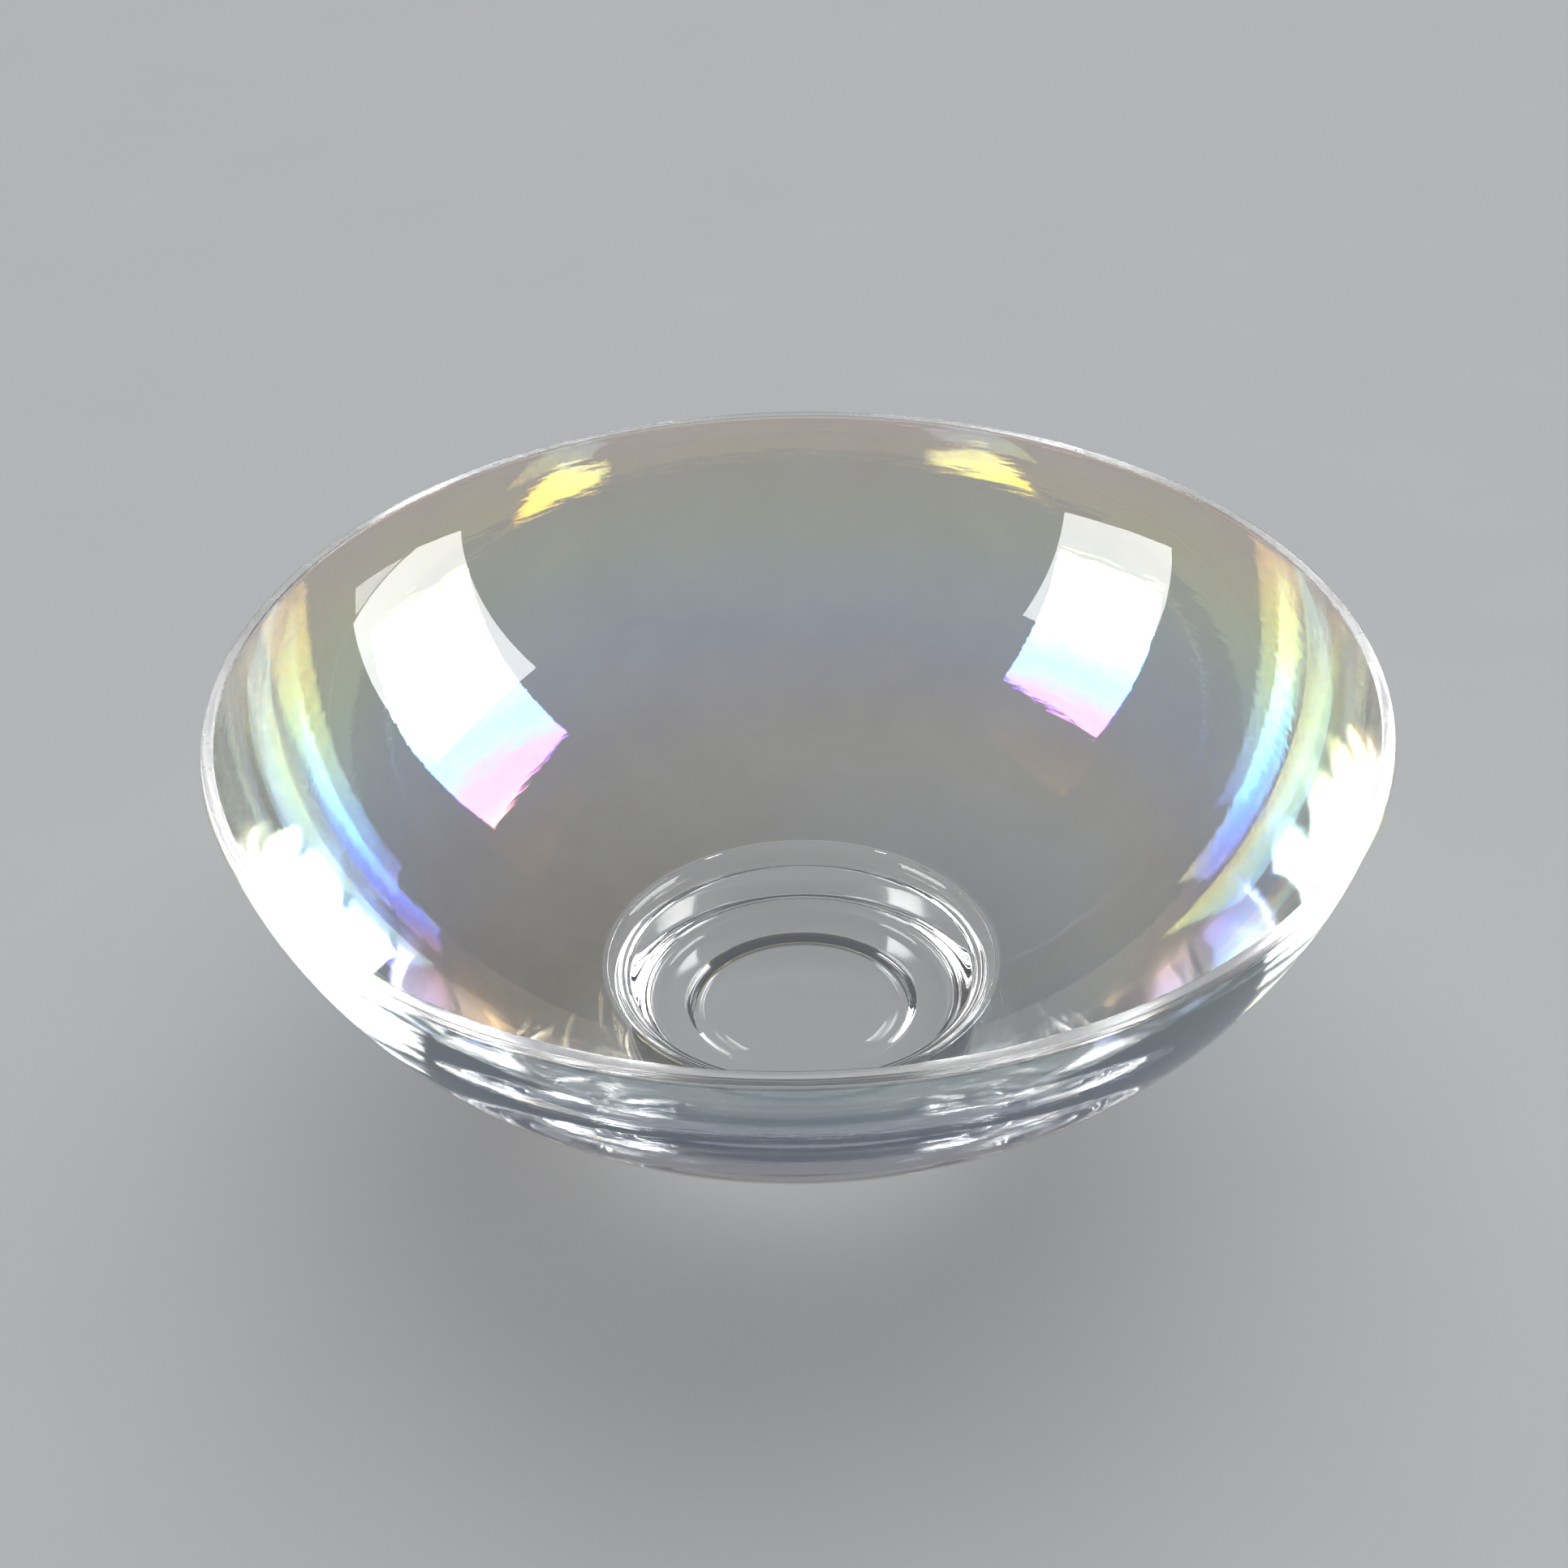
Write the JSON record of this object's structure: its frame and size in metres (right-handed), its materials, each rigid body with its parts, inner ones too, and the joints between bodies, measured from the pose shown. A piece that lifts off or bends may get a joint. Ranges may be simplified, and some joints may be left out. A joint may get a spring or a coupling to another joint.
{
  "type": "art glass bowl",
  "caption": "Round footed bowl of heavy clear glass with an iridescent film outside, for display or serving; stands on a flat ground foot.",
  "frame": {"origin": "centre of the flat ground ring under the foot, on the surface the bowl stands on", "axes": "+Z is the bowl's axis of revolution, pointing up out of its mouth; X and Y are any two horizontal directions"},
  "size_m": [0.2804, 0.2804, 0.122],
  "materials": {
    "clear_glass": "fire-polished clear colourless glass, ground and polished lip",
    "foot_glass": "solid clear glass, flat ground standing ring round a polished hollow",
    "iridescent_film": "thin metal-oxide lustre, from yellow-green at the rim through blue and violet to rose at the base"
  },
  "bodies": {
    "root": {"bowl_shell": "clear_glass", "foot": "foot_glass", "lustre_film": "iridescent_film"}
  },
  "joints": []
}
